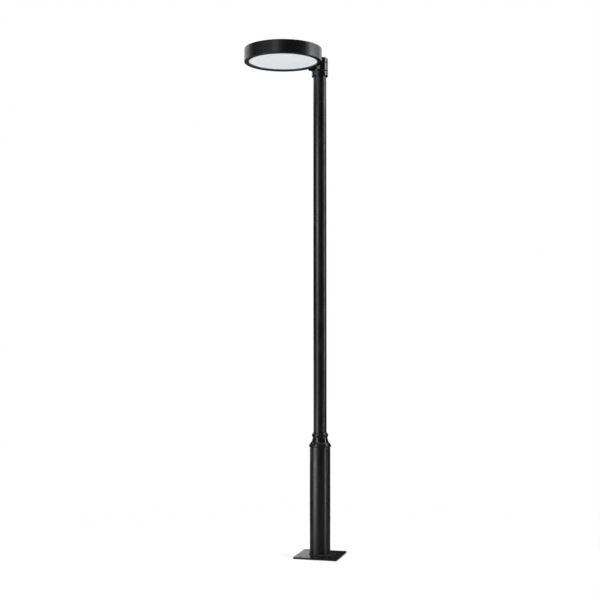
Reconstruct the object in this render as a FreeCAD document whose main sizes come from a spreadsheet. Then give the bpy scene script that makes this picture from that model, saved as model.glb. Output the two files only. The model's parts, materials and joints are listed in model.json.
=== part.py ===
"""Street lamp post: a stepped steel post with a square foot and a flat round lamp head on a swivel.

Millimetres. The origin is on the post's axis, on the underside of the base plate. +Z is up.
The lamp head reaches towards -X and is symmetric about the XZ plane. The service door is on +X.
"""
import FreeCAD, Part

import math
import os
import re

from FreeCAD import Placement, Rotation, Vector
from Sketcher import Constraint

doc = FreeCAD.newDocument("street_lamp_post")
sheet = doc.addObject("Spreadsheet::Sheet", "Sizes")

SIZES = {
    # base plate
    "plate_side": 300,
    "plate_t": 12,
    "plate_turn": 35.5,
    "plate_corner": 4,
    "anchor_pcd": 311,
    "anchor_r": 9,
    "entry_r": 50,
    "weld_leg": 7,
    # stepped post
    "lower_r": 70,
    "lower_wall": 4,
    "lower_top": 745,
    "upper_r": 45,
    "upper_wall": 3,
    "upper_foot": 605,
    "upper_top": 3300,
    "centring_t": 8,
    "reducer_foot": 738.5,
    "reducer_ring_r": 76.3,
    "reducer_neck_r": 51,
    "reducer_bead_r": 56.5,
    # service door
    "door_z": 400,
    "door_high": 300,
    "door_half": 43,
    "door_gap": 1.5,
    "door_corner": 14,
    "tab_half": 18,
    "tab_high": 30,
    "door_screw_inset": 7,
    "tab_overhang": 16,
    "rail_back": 54,
    "rail_t": 4,
    "rail_half": 20,
    "rail_foot": 8.8,
    "fuse_deep": 52,
    "fuse_half": 32,
    "fuse_high": 140,
    "stud_r": 4,
    "stud_drop": 40,
    "stud_len": 27.8,
    "nut_high": 6.5,
    # swivel stack on top of the post
    "stack_z": 3277,
    "stack_r": 56.5,
    "ring_round": 3.5,
    "foot_round": 6,
    "cap_round": 9,
    "collar_high": 35.5,
    "washer_t": 1.5,
    "hub_high": 57,
    "cap_seal_t": 1,
    "cap_high": 34,
    "journal_r": 47,
    "journal_top": 63,
    "running_gap": 0.05,
    "cable_bore_r": 36,
    "spigot_len": 90,
    "spigot_gap": 0.1,
    "cavity_r": 51,
    "retainer_r": 50.5,
    "retainer_t": 4,
    "retainer_circle": 41.5,
    "collar_screw_z": 12,
    "lock_screw_z": 47,
    "cap_screw_drop": 7,
    "skirt_len": 12,
    "screw_sunk": 0.4,
    # arm between hub and lamp head
    "reach": 323,
    "arm_half": 44,
    "arm_low": 42,
    "arm_top": 90,
    "arm_seal_t": 1.5,
    "arm_bolt_y": 30,
    "bolt_low": 21.5,
    "bolt_high": 34,
    "gland_z": 29,
    "gland_r": 7.5,
    "boss_x": 247,
    "channel_r": 8,
    # lamp head
    "head_z": 3328,
    "head_r": 260,
    "head_high": 89,
    "head_wall": 6,
    "trim_in_r": 229.5,
    "trim_t": 8,
    "trim_gap": 1,
    "ledge_r": 238.5,
    "ledge_t": 8,
    "diffuser_r": 236,
    "diffuser_t": 3,
    "seal_t": 1.5,
    "deck_low": 46,
    "deck_t": 4,
    "shoulder_z": 77,
    "cover_low": 83,
    "crown_high": 12,
    "lid_flat_r": 236,
    "lid_t": 4,
    "trim_circle": 246,
    "cover_circle": 250,
    "board_circle": 188,
    "vent_x": 120,
    "vent_r": 9,
    "board_r": 198,
    "board_t": 1.6,
    "pad_t": 0.5,
    "lead_x": 30,
    "chip_side": 5,
    "chip_t": 0.9,
    "sink_long": 190,
    "sink_wide": 220,
    "fin_high": 18,
    "driver_x": 80,
    "driver_wide": 60,
    "driver_half": 80,
    "driver_high": 24,
    "bracket_t": 2,
    "surge_x": 168,
}
for row, (alias, size) in enumerate(SIZES.items(), start=1):
    sheet.set(f"A{row}", alias)
    sheet.set(f"B{row}", str(size))
    sheet.setAlias(f"B{row}", alias)
doc.recompute()

NODES = []

ORIGIN_ON_POST = ("0", "0", "0")
STACK = ("0", "0", "stack_z")
HEAD = ("-reach", "0", "head_z")
THIRDS = (0, 120, 240)
LOCK_ANGLES = (120, 240)


def bind(expression):
    """The expression with every sheet alias written as a reference to the sheet."""
    return re.sub(r"[a-z_]+\w*", lambda m: f"Sizes.{m.group()}" if m.group() in SIZES else m.group(),
                  str(expression))


def value(expression):
    """The number that an expression of sheet aliases comes to."""
    return float(sheet.evalExpression(bind(expression)))


def place(obj, at, turn=None):
    """Ties an object's position to the sheet and, if given, its rotation as (axis, degrees)."""
    if turn:
        obj.Placement = Placement(Vector(), Rotation(Vector(*turn[0]), turn[1]))
    for letter, expression in zip("xyz", at):
        obj.setExpression(f".Placement.Base.{letter}", bind(expression))
    return obj


def node(obj, label):
    """Names a finished sub-part; each one becomes a file."""
    obj.Label = label
    NODES.append(obj)
    return obj


# ---------------------------------------------------------------- sketch and feature helpers


def new_body(name, at=ORIGIN_ON_POST):
    return place(doc.addObject("PartDesign::Body", name), at)


def new_sketch(body, role, offset="0"):
    sketch = body.newObject("Sketcher::SketchObject", f"{body.Name}_sketch")
    plane = next(f for f in body.Origin.OriginFeatures if f.Role == role)
    sketch.AttachmentSupport = [(plane, "")]
    sketch.MapMode = "FlatFace"
    sketch.setExpression(".AttachmentOffset.Base.z", bind(offset))
    return sketch


def fix_point(sketch, geometry, end, point):
    """Holds one end of a sketch edge at a pair of expressions, measured from the sketch's origin."""
    for kind, expression in zip(("DistanceX", "DistanceY"), point):
        number = value(expression)
        if number < 0:
            index = sketch.addConstraint(Constraint(kind, geometry, end, -1, 1, -number))
            sketch.setExpression(f"Constraints[{index}]", bind(f"-({expression})"))
        else:
            index = sketch.addConstraint(Constraint(kind, -1, 1, geometry, end, number))
            sketch.setExpression(f"Constraints[{index}]", bind(expression))


def outline(sketch, points, arcs=None):
    """Closes an outline through points. arcs: segment number -> (radius, +1 bulges left, -1 right)."""
    arcs = arcs or {}
    spots = [Vector(value(x), value(y), 0) for x, y in points]
    ends = []
    for number, start in enumerate(spots):
        stop = spots[(number + 1) % len(spots)]
        if number not in arcs:
            ends.append((sketch.addGeometry(Part.LineSegment(start, stop)), 1, 2))
            continue
        radius, side = arcs[number]
        chord = stop - start
        sagitta = value(radius) - math.sqrt(value(radius) ** 2 - chord.Length ** 2 / 4)
        middle = (start + stop) / 2 + Vector(-chord.y, chord.x, 0).normalize() * sagitta * side
        edge = sketch.addGeometry(arc_through(start, middle, stop))
        ends.append((edge, 2, 1) if side > 0 else (edge, 1, 2))
    for number, (edge, first, last) in enumerate(ends):
        after, after_first, _ = ends[(number + 1) % len(ends)]
        sketch.addConstraint(Constraint("Coincident", edge, last, after, after_first))
        fix_point(sketch, edge, first, points[number])
        if number in arcs:
            index = sketch.addConstraint(Constraint("Radius", edge, value(arcs[number][0])))
            sketch.setExpression(f"Constraints[{index}]", bind(arcs[number][0]))
    return sketch


def arc_through(start, middle, stop):
    """The arc through three points, stored counter-clockwise as sketches need it."""
    found = Part.Arc(start, middle, stop).toShape().Curve
    centre = found.Center
    first, last = [math.atan2(p.y - centre.y, p.x - centre.x) for p in (start, stop)]
    clockwise = (middle - start).cross(stop - middle).z < 0
    if clockwise:
        first, last = last, first
    if last < first:
        last += 2 * math.pi
    return Part.ArcOfCircle(Part.Circle(centre, Vector(0, 0, 1), found.Radius), first, last)


def circles(sketch, centres, radius):
    """Adds one circle of the same radius at each centre."""
    for centre in centres:
        spot = Vector(value(centre[0]), value(centre[1]), 0)
        edge = sketch.addGeometry(Part.Circle(spot, Vector(0, 0, 1), value(radius)))
        fix_point(sketch, edge, 3, centre)
        index = sketch.addConstraint(Constraint("Radius", edge, value(radius)))
        sketch.setExpression(f"Constraints[{index}]", bind(radius))
    return sketch


def revolve(body, points, arcs=None):
    """Turns an outline in the XZ plane, given as (radius, height), about the body's Z axis."""
    sketch = outline(new_sketch(body, "XZ_Plane"), points, arcs)
    feature = body.newObject("PartDesign::Revolution", f"{body.Name}_turned")
    feature.Profile = sketch
    feature.ReferenceAxis = (sketch, ["V_Axis"])
    feature.Angle = 360
    return feature


def pad(body, sketch, length, both_ways=False):
    feature = body.newObject("PartDesign::Pad", f"{body.Name}_pad")
    feature.Profile = sketch
    feature.setExpression("Length", bind(length))
    feature.Midplane = both_ways
    return feature


def pocket(body, sketch, length, along_normal=False, both_ways=False):
    """Cuts a sketch into the body and checks that material came away."""
    doc.recompute()
    before = body.Shape.Volume
    feature = body.newObject("PartDesign::Pocket", f"{body.Name}_pocket")
    feature.Profile = sketch
    feature.setExpression("Length", bind(length))
    feature.Reversed = along_normal
    feature.Midplane = both_ways
    doc.recompute()
    if body.Shape.Volume >= before - 1:
        raise RuntimeError(f"{feature.Name} cuts nothing")
    return feature


def dress(body, kind, size, test):
    """Fillets or chamfers the edges of the body's tip that pass the test."""
    doc.recompute()
    tip = body.Tip
    names = [f"Edge{n}" for n, edge in enumerate(tip.Shape.Edges, start=1) if test(edge)]
    feature = body.newObject(f"PartDesign::{kind}", f"{body.Name}_{kind.lower()}")
    feature.Base = (tip, names)
    if kind == "Fillet":
        feature.setExpression("Radius", bind(size))
    else:
        feature.setExpression("Size", bind(size))
    return feature


def ring(label, inner, outer, low, high, at=ORIGIN_ON_POST):
    """A plain turned ring, as a washer, seal or pad."""
    body = new_body(label, at)
    revolve(body, [(inner, low), (outer, low), (outer, high), (inner, high)])
    return node(body, label)


def cylinder(name, radius, length, at=ORIGIN_ON_POST, turn=None):
    """A plain cylinder along its own +Z, turned as (axis, degrees)."""
    tool = doc.addObject("Part::Cylinder", name)
    tool.setExpression("Radius", bind(radius))
    tool.setExpression("Height", bind(length))
    return place(tool, at, turn)


def block(name, sizes, at):
    """A box of three expressions, with its lowest corner at a point."""
    box = doc.addObject("Part::Box", name)
    for side, expression in zip(("Length", "Width", "Height"), sizes):
        box.setExpression(side, bind(expression))
    return place(box, at)


def fuse(name, shapes):
    joined = doc.addObject("Part::MultiFuse", name)
    joined.Shapes = shapes
    return joined


def cut(name, base, tools):
    """The base with every tool taken away."""
    result = doc.addObject("Part::Cut", name)
    result.Base = base
    result.Tool = tools[0] if len(tools) == 1 else fuse(f"{name}_tools", tools)
    return result


def radial(angle, radius, height, origin_z="0"):
    """A position on a circle about the post's axis, and the turn that points +Z outwards there."""
    cosine = round(math.cos(math.radians(angle)), 12)
    sine = round(math.sin(math.radians(angle)), 12)
    at = (f"({radius}) * ({cosine})", f"({radius}) * ({sine})", f"{origin_z} + {height}")
    turn = Rotation(Vector(0, 0, 1), angle) * Rotation(Vector(0, 1, 0), 90)
    return at, turn


def radial_tools(name, angles, radius, tool_radius, length, height, origin_z="0"):
    """Cylinders that drill inwards from a circle."""
    tools = []
    for angle in angles:
        at, turn = radial(angle, f"{radius} - ({length})", height, origin_z)
        tool = place(cylinder(name, tool_radius, length), at)
        tool.Placement.Rotation = turn
        tools.append(tool)
    return tools


# ---------------------------------------------------------------- fasteners


def hex_socket(name, across, depth, top):
    prism = doc.addObject("Part::Prism", f"{name}_socket")
    prism.Polygon = 6
    prism.Circumradius = across / math.sqrt(3)
    prism.Height = depth
    return place(prism, ("0", "0", f"{top} - {depth}"))


def grub_screw(name, size, length):
    """A set screw along +Z, its outer end at z = 0, with a hex socket and a chamfered point."""
    shank = cylinder(f"{name}_shank", size / 2, length - 1, ("0", "0", f"-{length - 1}"))
    point = doc.addObject("Part::Cone", f"{name}_point")
    point.Radius1 = size / 2 - 1
    point.Radius2 = size / 2
    point.Height = 1
    place(point, ("0", "0", f"-{length}"))
    return cut(name, fuse(f"{name}_blank", [shank, point]), [hex_socket(name, size / 2, size / 2, 0)])


def cap_screw(name, size, length):
    """A socket-head cap screw: the head stands on z = 0 and the shank hangs below."""
    head = cylinder(f"{name}_head", size * 0.8, size)
    shank = cylinder(f"{name}_shank", size / 2, length, ("0", "0", f"-{length}"))
    blank = fuse(f"{name}_blank", [head, shank])
    return cut(name, blank, [hex_socket(name, size * 0.8, size * 0.5, size)])


def flat_screw(name, size, length):
    """A countersunk screw: the head's top is at z = 0 and the shank hangs below."""
    head = doc.addObject("Part::Cone", f"{name}_head")
    head.Radius1 = size / 2
    head.Radius2 = size
    head.Height = size / 2
    place(head, ("0", "0", f"-{size / 2}"))
    shank = cylinder(f"{name}_shank", size / 2, length - size / 2, ("0", "0", f"-{length}"))
    blank = fuse(f"{name}_blank", [head, shank])
    return cut(name, blank, [hex_socket(name, size * 0.55, size * 0.4, 0)])


def sink_tool(name, size, length, at=ORIGIN_ON_POST, rotation=None):
    """The countersunk hole that a flat screw fills, along its own -Z from z = 0."""
    sink = doc.addObject("Part::Cone", f"{name}_sink")
    sink.Radius1 = size / 2
    sink.Radius2 = size
    sink.Height = size / 2
    hole = cylinder(f"{name}_hole", size / 2, length)
    turned = rotation or Rotation()
    for tool, depth in ((sink, size / 2), (hole, length)):
        offset = turned.multVec(Vector(0, 0, -depth))
        place(tool, [f"{c} + ({round(o, 9)})" for c, o in zip(at, offset)])
        tool.Placement.Rotation = turned
    return [sink, hole]


def group(label, master, spots):
    """Copies of one piece, each a solid of its own, as one node. spots: (position, rotation)."""
    copies = []
    for at, rotation in spots:
        link = doc.addObject("App::Link", f"{label}_copy")
        link.LinkedObject = master
        link.LinkPlacement = Placement(Vector(*[value(c) for c in at]), rotation or Rotation())
        copies.append(link)
    compound = doc.addObject("Part::Compound", label)
    compound.Links = copies
    return node(compound, label)


def on_circle(count, radius, height, at=ORIGIN_ON_POST, phase=0.0, rotation=None):
    """Evenly spaced spots on a level circle about a point."""
    spots = []
    for number in range(count):
        angle = math.radians(phase + 360.0 * number / count)
        x = f"{at[0]} + ({radius}) * ({round(math.cos(angle), 12)})"
        y = f"{at[1]} + ({radius}) * ({round(math.sin(angle), 12)})"
        spots.append(((x, y, f"{at[2]} + {height}"), rotation))
    return spots


def span(edge):
    """How far apart an edge's two ends are, along X, Y and Z."""
    first, last = edge.Vertexes[0].Point, edge.Vertexes[-1].Point
    return [abs(a - b) for a, b in zip(first, last)]


def is_level(edge):
    return edge.BoundBox.ZLength < 0.01


def is_upright(edge):
    return edge.BoundBox.ZLength > 10 and max(span(edge)[:2]) < 0.01


def runs_along_x(edge):
    x, y, z = span(edge)
    return x > 1 and y < 0.01 and z < 0.01


# ---------------------------------------------------------------- foot


def make_base_plate():
    body = new_body("base_plate")
    body.Placement = Placement(Vector(), Rotation(Vector(0, 0, 1), value("plate_turn")))
    body.setExpression(".Placement.Rotation.Angle", bind("plate_turn * 1 deg"))
    half = "plate_side / 2"
    corners = [(f"-{half}", f"-{half}"), (half, f"-{half}"), (half, half), (f"-{half}", half)]
    pad(body, outline(new_sketch(body, "XY_Plane"), corners), "plate_t")
    dress(body, "Fillet", "plate_corner", is_upright)
    dress(body, "Chamfer", "1", lambda e: is_level(e) and e.BoundBox.ZMin > 1)
    pocket(body, circles(new_sketch(body, "XY_Plane"), [("0", "0")], "entry_r"), "plate_t",
           along_normal=True)
    anchors = [(f"{sx} * anchor_pcd / 2 * sqrt(0.5)", f"{sy} * anchor_pcd / 2 * sqrt(0.5)")
               for sx in (-1, 1) for sy in (-1, 1)]
    pocket(body, circles(new_sketch(body, "XY_Plane"), anchors, "anchor_r"), "plate_t",
           along_normal=True)
    node(body, "base_plate")


def make_foot_weld():
    """The fillet weld around the tube's foot, with a slightly hollow face."""
    body = new_body("foot_weld")
    low, high = "plate_t", "plate_t + weld_leg"
    revolve(body, [("lower_r", low), ("lower_r + weld_leg", low), ("lower_r", high)],
            {1: ("weld_leg * 1.6", 1)})
    node(body, "foot_weld")


# ---------------------------------------------------------------- stepped post


def make_lower_tube():
    body = new_body("lower_tube")
    inner = "lower_r - lower_wall"
    revolve(body, [(inner, "plate_t"), ("lower_r", "plate_t"), ("lower_r", "lower_top"),
                   (inner, "lower_top")])
    low, high = "door_z - door_high / 2", "door_z + door_high / 2"
    window = window_sketch(body, low, high, "door_half", "door_corner")
    pocket(body, window, "lower_r + 5", along_normal=True)
    node(body, "lower_tube")


def make_centring_rings():
    """Two welded ring plates that hold the upper tube inside the lower one."""
    master = new_body("centring_ring")
    inner, outer = "upper_r", "lower_r - lower_wall"
    revolve(master, [(inner, "0"), (outer, "0"), (outer, "centring_t"), (inner, "centring_t")])
    heights = ("upper_foot + 7", "lower_top - centring_t")
    group("centring_rings", master, [(("0", "0", z), None) for z in heights])


def make_upper_tube():
    body = new_body("upper_tube")
    inner = "upper_r - upper_wall"
    revolve(body, [(inner, "upper_foot"), ("upper_r", "upper_foot"), ("upper_r", "upper_top"),
                   (inner, "upper_top")])
    node(body, "upper_tube")


def make_reducer():
    """The cast collar over the step: a beaded foot ring, an ogee bell, a neck and a top bead."""
    body = new_body("reducer_blank", ("0", "0", "reducer_foot"))
    skirt = "lower_top - reducer_foot"
    points = [
        ("lower_r + 0.15", "0"),
        ("reducer_ring_r - 3.8", "0"),
        ("reducer_ring_r - 3.8", "15"),
        ("reducer_ring_r - 12.3", "28"),
        ("reducer_neck_r + 5", "42.5"),
        ("reducer_neck_r", "61"),
        ("reducer_neck_r", "67.5"),
        ("reducer_neck_r - 1", "92"),
        ("reducer_neck_r - 3.5", "93.5"),
        ("upper_r + 2", "99.5"),
        ("upper_r + 0.15", "99.5"),
        ("upper_r + 0.15", "56"),
        ("58", "24"),
        ("62", skirt),
        ("lower_r + 0.15", skirt),
    ]
    arcs = {1: ("9.3", -1), 2: ("20", -1), 3: ("26", 1), 5: ("12", 1), 6: ("15.8", -1)}
    revolve(body, points, arcs)
    tools = radial_tools("reducer_tap", (50, 170, 290), "reducer_bead_r + 1", 3, "13", "reducer_foot + 79.5")
    node(cut("reducer_collar", body, tools), "reducer_collar")
    screw = grub_screw("reducer_grub", 6, 10.5)
    spots = [radial(angle, "reducer_bead_r - 0.6", "reducer_foot + 79.5") for angle in (50, 170, 290)]
    group("reducer_set_screws", screw, spots)


# ---------------------------------------------------------------- service door and what is behind it


def window_sketch(body, low, high, half, corner, around=False):
    """A round-cornered window seen along X. around=True takes all that lies outside it instead."""
    sketch = new_sketch(body, "YZ_Plane")
    points = [
        (f"-({half} - {corner})", low),
        (f"{half} - {corner}", low),
        (half, f"{low} + {corner}"),
        (half, f"{high} - {corner}"),
        (f"{half} - {corner}", high),
        (f"-({half} - {corner})", high),
        (f"-({half})", f"{high} - {corner}"),
        (f"-({half})", f"{low} + {corner}"),
    ]
    outline(sketch, points, {number: (corner, -1) for number in (1, 3, 5, 7)})
    if around:
        side, foot, top = f"{half} + 5", f"{low} - 5", f"{high} + 5"
        outline(sketch, [(f"-({side})", foot), (side, foot), (side, top), (f"-({side})", top)])
    return sketch


def shell_piece(name, inner, outer, half, low, high):
    """A curved plate cut from a tube wall on +X, with flat sides parallel to the XZ plane."""
    body = new_body(name)
    inner_x, outer_x = f"sqrt(({inner})^2 - ({half})^2)", f"sqrt(({outer})^2 - ({half})^2)"
    points = [(inner_x, f"-({half})"), (outer_x, f"-({half})"), (outer_x, half), (inner_x, half)]
    pad(body, outline(new_sketch(body, "XY_Plane", low), points, {1: (outer, -1), 3: (inner, 1)}),
        f"({high}) - ({low})")
    return body


def make_door():
    low, high = "(door_z - door_high / 2)", "(door_z + door_high / 2)"
    levels = (f"{low} + door_screw_inset", f"{high} - door_screw_inset")
    outward = Rotation(Vector(0, 1, 0), 90)
    inner = "lower_r - lower_wall"
    cover_size = (f"{low} + door_gap", f"{high} - door_gap", "door_half - door_gap", "door_corner - door_gap")
    seal_size = (f"{low} + 0.4", f"{high} - 0.4", "door_half - 0.4", "door_corner - 0.4")

    foot, top, half, _ = cover_size
    cover = shell_piece("door_blank", f"{inner} + 0.3", "lower_r", f"{half} + 3", f"{foot} - 3", f"{top} + 3")
    pocket(cover, window_sketch(cover, *cover_size, around=True), "lower_r + 5", along_normal=True)
    sinks = []
    for level in levels:
        sinks += sink_tool("door_sink", 6, 9, ("lower_r - 0.4", "0", level), outward)
    node(cut("door_cover", cover, sinks), "door_cover")
    screw = flat_screw("door_screw", 6, 16)
    group("door_screws", screw, [(("lower_r - 0.4", "0", level), outward) for level in levels])

    foot, top, half, _ = seal_size
    seal = shell_piece("door_seal", f"{inner} + 1", "lower_r - 1", f"{half} + 3", f"{foot} - 3", f"{top} + 3")
    pocket(seal, window_sketch(seal, *seal_size, around=True), "lower_r + 5", along_normal=True)
    pocket(seal, window_sketch(seal, *cover_size), "lower_r + 5", along_normal=True)
    node(seal, "door_seal")

    master = shell_piece("door_tab", f"{inner} - 4", inner, "tab_half", "0", "tab_high")
    tabs = []
    feet = (f"{low} - tab_overhang", f"{high} + tab_overhang - tab_high")
    for number, (foot, level) in enumerate(zip(feet, levels)):
        tab = doc.addObject("App::Link", f"tab_{number}")
        tab.LinkedObject = master
        tab.LinkPlacement = Placement(Vector(0, 0, value(foot)), Rotation())
        hole = cylinder("tab_hole", 3.05, "20", ("lower_r - 20", "0", level), ((0, 1, 0), 90))
        tabs.append(cut(f"tab_drilled_{number}", tab, [hole]))
    compound = doc.addObject("Part::Compound", "door_tabs")
    compound.Links = tabs
    node(compound, "door_tabs")


def make_equipment():
    """The fuse box on its rail, and the earth stud, inside the lower tube behind the door."""
    half = "door_high / 2"
    low, high = f"door_z - {half}", f"door_z + {half} - rail_t"
    bar = block("rail_bar", ("rail_t", "2 * rail_half", "door_high"), ("-rail_back", "-rail_half", low))
    foot_size = ("rail_foot", "2 * rail_half", "rail_t")
    feet = [block("rail_foot", foot_size, ("-rail_back - rail_foot", "-rail_half", level))
            for level in (low, high)]
    node(fuse("equipment_rail", [bar] + feet), "equipment_rail")

    body = new_body("fuse_box", ("rail_t - rail_back", "0", "door_z - fuse_high / 2"))
    side, deep = "fuse_half", "fuse_deep"
    corners = [("0", f"-{side}"), (deep, f"-{side}"), (deep, side), ("0", side)]
    pad(body, outline(new_sketch(body, "XY_Plane"), corners), "fuse_high")
    dress(body, "Fillet", "4", is_upright)
    entries = [("fuse_deep / 2", f"{side} * (fuse_half - 18)") for side in (-1, 1)]
    pocket(body, circles(new_sketch(body, "XY_Plane"), entries, "7"), "12", along_normal=True)
    node(body, "fuse_box")

    level = f"{low} - stud_drop"
    wall = "lower_r - lower_wall"
    along_x = ((0, 1, 0), 90)
    node(cylinder("earth_stud", "stud_r", "stud_len", (f"{wall} - stud_len - 0.2", "0", level), along_x),
         "earth_stud")
    nut = doc.addObject("Part::Prism", "nut_blank")
    nut.Polygon = 6
    nut.Circumradius = 7.5
    nut.setExpression("Height", bind("nut_high"))
    place(nut, (f"{wall} - 22", "0", level), along_x)
    bore = cylinder("nut_bore", "stud_r", "nut_high + 4", (f"{wall} - 24", "0", level), along_x)
    node(cut("earth_nut", nut, [bore]), "earth_nut")


# ---------------------------------------------------------------- swivel stack


def make_pole_collar():
    """Fixed to the post: an outer ring, a spigot down inside the tube, and the journal of the swivel."""
    body = new_body("collar_blank", STACK)
    seat = "upper_top - stack_z"
    points = [
        ("cable_bore_r", "-spigot_len"),
        ("upper_r - upper_wall - spigot_gap", "-spigot_len"),
        ("upper_r - upper_wall - spigot_gap", seat),
        ("upper_r + spigot_gap", seat),
        ("upper_r + spigot_gap", "0"),
        ("stack_r - foot_round", "0"),
        ("stack_r", "foot_round"),
        ("stack_r", "collar_high - ring_round"),
        ("stack_r - ring_round", "collar_high"),
        ("journal_r", "collar_high"),
        ("journal_r", "journal_top"),
        ("cable_bore_r", "journal_top"),
    ]
    revolve(body, points, {5: ("foot_round", -1), 7: ("ring_round", -1)})
    taps = radial_tools("collar_tap", THIRDS, "stack_r + 1", 4, "stack_r - upper_r + 1", "collar_screw_z",
                        "stack_z")
    for at, _ in on_circle(3, "retainer_circle", "journal_top - 10", STACK):
        taps.append(cylinder("ring_tap", 2, "12", at))
    node(cut("pole_collar", body, taps), "pole_collar")
    grub = grub_screw("stack_grub", 8, 10.9)
    spots = [radial(angle, "stack_r - screw_sunk", "stack_z + collar_screw_z") for angle in THIRDS]
    group("collar_set_screws", grub, spots)


def make_retainer():
    """What holds the hub down on the journal: two slip washers and a screwed ring."""
    ring("thrust_washer", "journal_r + 0.2", "stack_r - ring_round - 0.3", "collar_high",
         "collar_high + washer_t", STACK)
    ring("friction_washer", "journal_r + 0.3", "retainer_r", "journal_top - 0.9", "journal_top", STACK)
    retainer = new_body("retainer_blank", STACK)
    top = "journal_top + retainer_t"
    revolve(retainer, [("cable_bore_r + 1", "journal_top"), ("retainer_r", "journal_top"),
                       ("retainer_r", top), ("cable_bore_r + 1", top)])
    spots = on_circle(3, "retainer_circle", top, STACK)
    sinks = []
    for at, _ in spots:
        sinks += sink_tool("retainer_sink", 4, 6, at)
    node(cut("retaining_ring", retainer, sinks), "retaining_ring")
    group("retaining_screws", flat_screw("retaining_screw", 4, 13.5), spots)


HUB_LOW = "(collar_high + washer_t)"
HUB_TOP = "(collar_high + washer_t + hub_high)"
BOLT_SPOTS = [(side, level) for side in (-1, 1) for level in ("bolt_low", "bolt_high")]


def make_hub():
    """The turning part of the swivel: a ring on the journal with the arm that carries the head."""
    body = new_body("hub_blank", STACK)
    bore = "journal_r + running_gap"
    step = "journal_top - 1"
    revolve(body, [
        (bore, HUB_LOW),
        ("stack_r - ring_round", HUB_LOW),
        ("stack_r", f"{HUB_LOW} + ring_round"),
        ("stack_r", f"{HUB_TOP} - ring_round"),
        ("stack_r - ring_round", HUB_TOP),
        ("cavity_r", HUB_TOP),
        ("cavity_r", step),
        (bore, step),
    ], {1: ("ring_round", -1), 3: ("ring_round", -1)})
    root = "stack_r - 2"
    end = "head_r + arm_seal_t"
    root_x, end_x = f"-sqrt(({root})^2 - arm_half^2)", f"-(reach - sqrt(({end})^2 - arm_half^2))"
    plan = [(root_x, "-arm_half"), (root_x, "arm_half"), (end_x, "arm_half"), (end_x, "-arm_half")]
    pad(body, outline(new_sketch(body, "XY_Plane", "arm_low"), plan, {0: (root, 1), 2: (end, 1)}),
        "arm_top - arm_low")
    dress(body, "Fillet", "3", runs_along_x)
    head_low = "head_z - stack_z"
    channel = [("0", f"{head_low} + gland_z")]
    pocket(body, circles(new_sketch(body, "YZ_Plane"), channel, "channel_r"), "reach")
    taps = [(f"{side} * arm_bolt_y", f"{head_low} + {level}") for side, level in BOLT_SPOTS]
    pocket(body, circles(new_sketch(body, "YZ_Plane", "-50"), taps, "3"), "reach")
    tools = radial_tools("hub_tap", LOCK_ANGLES, "stack_r + 1", 4, "stack_r - journal_r + 0.8",
                         "lock_screw_z", "stack_z")
    tools += radial_tools("cap_tap", THIRDS, "stack_r + 1", 2.5, "stack_r - cavity_r + 2",
                          f"{HUB_TOP} - cap_screw_drop", "stack_z")
    node(cut("swivel_hub", body, tools), "swivel_hub")
    lock = grub_screw("lock_grub", 8, 8.9)
    spots = [radial(angle, "stack_r - screw_sunk", "stack_z + lock_screw_z") for angle in LOCK_ANGLES]
    group("hub_lock_screws", lock, spots)


def make_cap():
    ring("cap_seal", "cavity_r", "stack_r - ring_round - 0.2", HUB_TOP, f"{HUB_TOP} + cap_seal_t", STACK)
    body = new_body("cap_blank", STACK)
    low = f"{HUB_TOP} + cap_seal_t"
    top = f"{low} + cap_high"
    revolve(body, [
        ("0", f"{top} - 5"),
        ("45", f"{top} - 5"),
        ("45", f"{HUB_TOP} - skirt_len"),
        ("50.8", f"{HUB_TOP} - skirt_len"),
        ("50.8", low),
        ("stack_r - ring_round", low),
        ("stack_r", f"{low} + ring_round"),
        ("stack_r", f"{top} - cap_round"),
        ("stack_r - cap_round", top),
        ("0", top),
    ], {5: ("ring_round", -1), 7: ("cap_round", -1)})
    taps = radial_tools("cap_hole", THIRDS, "stack_r + 1", 2.5, "9", f"{HUB_TOP} - cap_screw_drop", "stack_z")
    node(cut("top_cap", body, taps), "top_cap")
    screw = grub_screw("cap_screw", 5, 7.4)
    level = f"stack_z + {HUB_TOP} - cap_screw_drop"
    group("cap_screws", screw, [radial(a, "stack_r - screw_sunk", level) for a in THIRDS])


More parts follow.
